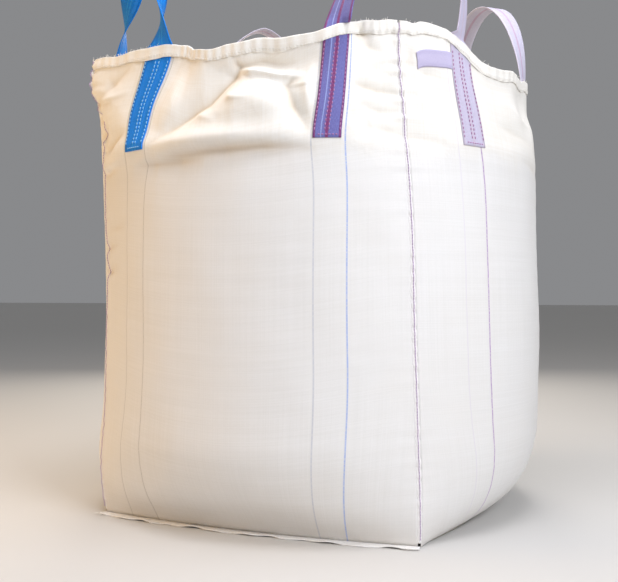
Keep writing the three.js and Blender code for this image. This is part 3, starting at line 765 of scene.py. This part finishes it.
for corner, name in enumerate(corner_names):
    after = (corner + 1) % 4
    left_edge = skin(corner, half_width - panel_edge - 0.001, seam_z)
    right_edge = skin(after, panel_edge + 0.001 - half_width, seam_z)
    tip, away = corner_line(corner)
    pinch = 0.0006 * np.sin(seam_z * 2 * np.pi / pucker_pitch)
    crest = tip + away * (0.0003 + pinch)[:, None]
    inside = tip - away * seam_turned_in
    mid_left = (left_edge + crest) / 2 + away * 0.0003
    mid_right = (right_edge + crest) / 2 + away * 0.0003
    ring = [inside - (right_edge - left_edge) * 0.1, left_edge - away * 0.002, left_edge, mid_left, crest,
            mid_right, right_edge, right_edge - away * 0.002, inside + (right_edge - left_edge) * 0.1]
    outer = np.array(ring).transpose(1, 0, 2)
    back = [ring[0], left_edge - away * 0.0024, left_edge - away * 0.0012, mid_left - away * 0.0015,
            crest - away * 0.0025, mid_right - away * 0.0015, right_edge - away * 0.0012,
            right_edge - away * 0.0024, ring[8]]
    inner = np.array(back).transpose(1, 0, 2) - away[:, None] * 0.0004
    across = np.linspace(-0.03, 0.03, 9)
    place = np.stack(np.broadcast_arrays(across[None], seam_z[:, None]), -1)
    seam = closed_sheet("seam_" + name, outer, inner, place, seam_cloth)
    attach(seam, "bag")
    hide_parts("corner_seam_" + name)

# Sewing thread: chain and lock stitches of polyester thread, 1.4 to 2.8 mm thick so that they show
# Mauve down the corner seams, white along the hem and the pale webbing, light blue on the blue webbing
# and pink on the violet.


def thread(name, colour, shade):
    """Twisted polyester sewing thread: a soft sheen, darker in the grooves of its twist."""
    material, tree, shader = blank_material(name)
    place = add_node(tree, "ShaderNodeTexCoord")
    grain = speckle(tree, place.outputs["Object"], 900.0, 1.0)
    tree.links.new(mixed(tree, grain, linear(shade), linear(colour)), shader.inputs["Base Color"])
    shader.inputs["Roughness"].default_value = 0.55
    shader.inputs["Sheen Weight"].default_value = 0.2
    return material


mauve_thread = thread("mauve_polyester_thread", "#c6a9cf", "#ab8db8")
white_thread = thread("white_polyester_thread", "#fbfaf6", "#dcd8cf")
blue_thread = thread("light_blue_polyester_thread", "#9fd6f5", "#6cb8ea")
pink_thread = thread("pink_polyester_thread", "#c99ac4", "#a5669c")


def stitches(name, starts, ends, normals, radius, material, slot="seam_fabric"):
    """One mesh of short stitches: each is a six-sided spindle from start to end, bowed along normal."""
    count = len(starts)
    axis = ends - starts
    side = unit(np.cross(axis, normals))
    angles = np.arange(6) * np.pi / 3
    shares, fat = np.array([0.04, 0.3, 0.7, 0.96]), np.array([0.55, 1, 1, 0.55])
    bow = np.array([0, 0.7, 0.7, 0])
    centre = starts[:, None] + shares[None, :, None] * axis[:, None]
    centre += (bow * radius)[None, :, None] * normals[:, None]
    ring = np.cos(angles)[None, :, None] * side[:, None] + np.sin(angles)[None, :, None] * normals[:, None]
    points = centre[:, :, None] + (fat * radius)[None, :, None, None] * ring[:, None]
    tips = np.stack([starts, ends], 1)
    points = np.concatenate([points.reshape(count, 24, 3), tips], 1).reshape(-1, 3)
    quads, fans = [], []
    for i in range(3):
        for j in range(6):
            a, b = i * 6 + j, i * 6 + (j + 1) % 6
            quads.append((b, a, a + 6, b + 6))
    for j in range(6):
        fans.append((24, j, (j + 1) % 6))
        fans.append((25, 18 + (j + 1) % 6, 18 + j))
    base = np.arange(count)[:, None, None] * 26
    quads = (np.array(quads)[None] + base).reshape(-1, 4)
    fans = (np.array(fans)[None] + base).reshape(-1, 3)
    mesh = bpy.data.meshes.new(name)
    mesh.from_pydata(points, [], quads.tolist() + fans.tolist())
    mesh.materials.append(material)
    mesh.polygons.foreach_set("use_smooth", np.ones(len(mesh.polygons), bool))
    piece = bpy.data.objects.new(name, mesh)
    bpy.context.collection.objects.link(piece)
    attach(piece, "bag")
    return piece


def row(points, normals, pitch, fill=0.72):
    """Starts, ends and normals of stitches along a line of points, one every pitch metres."""
    run = np.concatenate([[0], np.cumsum(np.linalg.norm(np.diff(points, axis=0), axis=-1))])
    places = np.arange(pitch, run[-1] - pitch, pitch)
    starts, ends, n = (np.stack([np.interp(s, run, values[:, i]) for i in range(3)], -1) for s, values in
                       ((places, points), (places + pitch * fill, points), (places, normals)))
    return starts, ends, unit(n)


def joined(rows):
    """Several rows of stitches as one."""
    return [np.concatenate(part) for part in zip(*rows)]


seam_rows = []
for corner in range(4):
    tip, away = corner_line(corner)
    seam_rows.append(row(tip + away * 0.0019, away, 0.0075, 0.98))
stitches("corner_stitching", *joined(seam_rows), 0.0011, mauve_thread)

hem_rows = []
for face in range(4):
    lift = 0.0017 + over_strap + gathers(face * panel_width + hem_across)
    for drop in (0.78, 0.92):
        z = np.full(len(hem_across), rim_height - drop * hem_height)
        n = facing(face, hem_across, z)
        hem_rows.append(row(skin(face, hem_across, z) + n * (lift + web_gap)[:, None], n, 0.009))
stitches("hem_stitching", *joined(hem_rows), 0.0007, white_thread)


def leg_lines(face, middle, lines, foot=0.008):
    """Rows of stitches up a sewn leg, at the given shares of its half width, and one across its foot."""
    z = np.linspace(leg_foot + foot, rim_height - hem_height, 70)
    lift = web_gap + web_thickness + web_gap
    made = []
    for share in lines:
        u = np.full(len(z), middle + share * strap_half)
        n = facing(face, u, z)
        made.append(row(skin(face, u, z) + n * lift, n, 0.0105, 0.66))
    u = np.linspace(middle - 0.9 * strap_half, middle + 0.9 * strap_half, 20)
    z = np.full(20, leg_foot + foot)
    n = facing(face, u, z)
    made.append(row(skin(face, u, z) + n * lift, n, 0.0085))
    return made


lines = (-0.88, -0.14, 0.14, 0.88)
for name, corners, radius, material in (("blue_leg_stitching", [3], 0.0014, blue_thread),
                                        ("violet_leg_stitching", [0], 0.0013, pink_thread),
                                        ("pale_leg_stitching", [1, 2], 0.0009, white_thread)):
    made = []
    for corner in corners:
        made += leg_lines(corner, strap_across, lines) + leg_lines((corner + 1) % 4, -strap_across, lines)
    stitches(name, *joined(made), radius, material)

# Cross band: a short piece of lavender webbing sewn flat on the right side, beside the webbing
# It is 43 mm wide and runs from the sewn leg towards the front corner.
band_length = 0.125
band_end = -strap_across - strap_half
band_across = np.linspace(band_end - band_length, band_end - 0.0006, 40)
band_z = np.linspace(1.205, 1.248, 12)
flat = np.meshgrid(band_across, band_z)
band_slope = 0.16
flat[1] = flat[1] - 0.003 - band_slope * (band_across[-1] - flat[0])
n = facing(1, *flat)
outer, inner = skin(1, *flat) + n * 0.0026, skin(1, *flat) + n * web_gap
band_web = webbing("lavender_polypropylene_webbing", "#d1c9e9", "#bfb5de", [(0.5, 0.3, "#d8d0ee")], "#e4def5")
place = np.stack(np.meshgrid(band_across, band_z - band_z.mean())[::-1], -1)
band = closed_sheet("webbing_cross_band", outer, inner, place, band_web)
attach(band, "bag")
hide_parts("cross_band")

# Base seams: the allowance of base and side panel, turned out as a lip along the front and the back
# Two layers of cut cloth, 27 mm wide, whiter where the tapes are cut, curling a little.
lip_reach = 0.027
lip_thickness = 0.0034
lip_columns = 220
lip_cloth, tree, shader = blank_material("cut_polypropylene_edge")
place = add_node(tree, "ShaderNodeUVMap", uv_map="cloth")
stretch = add_node(tree, "ShaderNodeMapping", {"Scale": (420, 90, 1)}, {"Vector": place.outputs[0]})
ends = speckle(tree, stretch.outputs[0], 1.0)
tree.links.new(mixed(tree, ends, linear("#e9e5de"), linear("#ffffff")), shader.inputs["Base Color"])
tree.links.new(bumped(tree, ends, 0.6, 0.001), shader.inputs["Normal"])
shader.inputs["Roughness"].default_value = 0.6
for face, name in ((0, "front"), (2, "back")):
    across = np.linspace(-half_width, half_width, lip_columns)
    foot = skin(face, across, np.full(lip_columns, 0.0))
    n = unit(facing(face, across, np.full(lip_columns, 0.02)) * (1, 1, 0))
    reaches = np.linspace(-0.002, 1, 9)
    curl = 0.0022 * np.sin(31 * across) + 0.0016 * np.sin(73 * across + 1)
    grow = lip_reach + 0.003 * np.sin(19 * across + 2) + 0.002 * np.sin(57 * across)
    top = foot[None] + reaches[:, None, None] * grow[None, :, None] * n[None]
    top[:, :, 2] = 0.0048 + reaches[:, None] ** 2 * np.maximum(curl, -0.0015)[None]
    under = top.copy()
    under[:, :, 2] -= lip_thickness
    place = np.stack(np.broadcast_arrays(across[None], (reaches * lip_reach)[:, None]), -1)
    lip = closed_sheet("base_lip_" + name, under, top, place, lip_cloth)
    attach(lip, "bag")
    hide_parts("base_seam_" + name)

# Frayed ends: tapes that have come out of the cut cloth, along the rim and at the ends of the base lip
# Each is a flat polypropylene tape, here a thin spindle, a few millimetres to a few centimetres long.
frayed = []
for face, spread, count in ((0, (-0.50, -0.28), 46), (3, (0.20, 0.50), 30), (0, (0.34, 0.50), 14),
                            (1, (-0.5, 0.4), 26), (2, (-0.4, 0.4), 20)):
    u = rng.uniform(*spread, count)
    top = skin(face, u, np.full(count, rim_height)) + (0, 0, 0.0015)
    n = facing(face, u, np.full(count, rim_height))
    away = unit(rng.normal(0, 0.6, (count, 3)) + (0, 0, 1.1) + 0.5 * n)
    frayed.append((top, top + away * rng.uniform(0.003, 0.009, count)[:, None], n))
for face, middle in ((0, -1), (0, 1), (2, -1), (2, 1)):
    count = 14
    u = middle * rng.uniform(half_width - 0.035, half_width, count)
    foot = skin(face, u, np.full(count, 0.0))
    n = facing(face, u, np.full(count, 0.02)) * (1, 1, 0)
    start = foot + n * lip_reach + (0, 0, 0.005)
    away = unit(n + rng.normal(0, 0.5, (count, 3)) * (1, 1, 0.1) + (0, 0, 0.02))
    end = start + away * rng.uniform(0.008, 0.018, count)[:, None]
    frayed.append((start, np.maximum(end, (-9, -9, 0.002)), np.tile((0.0, 0.0, 1.0), (count, 1))))
stitches("frayed_ends", *joined(frayed), 0.0005, white_thread)

# Contents: plastic granulate heaped a little in the middle of the mouth
# A rough cream surface of grains about 4 mm across, with loose pellets lying on it. Below the heap it
# follows the inside of the cloth.
granulate, tree, shader = blank_material("moulded_plastic_granulate")
place = add_node(tree, "ShaderNodeTexCoord")
grains = add_node(tree, "ShaderNodeTexVoronoi", {"Scale": 210.0}, {"Vector": place.outputs["Object"]})
# Painted shade: darker and browner towards the edges of each grain, where the grains meet.
grain_gap_shade = ranged(tree, grains.outputs["Distance"], 0.1, 0.55)
tree.links.new(mixed(tree, grain_gap_shade, linear("#efe9db"), linear("#c9c0ab")), shader.inputs["Base Color"])
dips = bumped(tree, grains.outputs["Distance"], 1.0, 0.003, invert=True)
tree.links.new(dips, shader.inputs["Normal"])
shader.inputs["Roughness"].default_value = 0.45
shader.inputs["Coat Weight"].default_value = 0.1

heap_rows, columns = 70, 420
heap_edge = fill_height + 0.006
heap_rise = 0.060
shares = np.linspace(0, 1, heap_rows)
around = np.linspace(-2 * panel_width, 2 * panel_width, columns + 1)[:-1]
faces = np.round(around / panel_width).astype(int)
levels = np.concatenate([[heap_edge], np.linspace(fill_height - 0.01, 0.012, 34)])
rings = np.zeros((len(levels), columns, 3))
for face in range(-2, 3):
    mine = faces == face
    rings[:, mine] = skin(face % 4, *np.meshgrid(around[mine] - face * panel_width, levels))
ring, wall = rings[0], rings[1:]
inset = 1 - 0.004 / np.linalg.norm(ring[:, :2], axis=-1)
corner_cut = 1 - 0.045 * hump((np.abs(around % panel_width - half_width)) / 0.03)
heap = shares[:, None, None] * (ring * (inset * corner_cut)[:, None])[None]
height = heap_edge + heap_rise * (1 - shares[:, None] ** 2)
x, y = heap[:, :, 0], heap[:, :, 1]
lump = np.sin(17 * x + 1) * np.sin(14 * y) + 0.6 * np.sin(33 * y + 29 * x)
heap[:, :, 2] = height + 0.005 * lump * (1 - shares[:, None] ** 4)
grain_noise = np.random.default_rng(3).normal(0, 0.0010, heap.shape[:2])
heap[1:-1, :, 2] += (grain_noise * ease(shares * 5)[:, None])[1:-1]
wall[:, :, :2] *= (inset * corner_cut)[None, :, None] - 0.010
filled = np.concatenate([heap, wall])
under = wall[-1:] * np.linspace(0, 1, len(filled))[:, None, None] * (1, 1, 0) + (0, 0, 0.004)
place = np.stack(np.broadcast_arrays(around[None], np.linspace(0, 2, len(filled))[:, None]), -1)
fill = closed_sheet("granulate", under, filled, place, granulate, ring=True)
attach(fill, "bag")
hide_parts("contents")

# Loose pellets on top of the heap
# Each is 4 mm long and lies its own way, mostly flat.
count = 3500
pick = rng.integers(2, heap_rows - 2, count), rng.integers(0, columns, count)
spot = heap[pick] * np.stack([rng.uniform(0.985, 1.0, count)] * 2 + [np.ones(count)], -1)
tilt = unit(rng.normal(0, 1, (count, 3)) * (1, 1, 0.4))
flat_up = unit(np.cross(tilt, np.roll(tilt, 1, axis=1)))
half_long = 0.0022
stitches("loose_pellets", spot - tilt * half_long, spot + tilt * half_long, flat_up, 0.0017, granulate,
         "granulate")
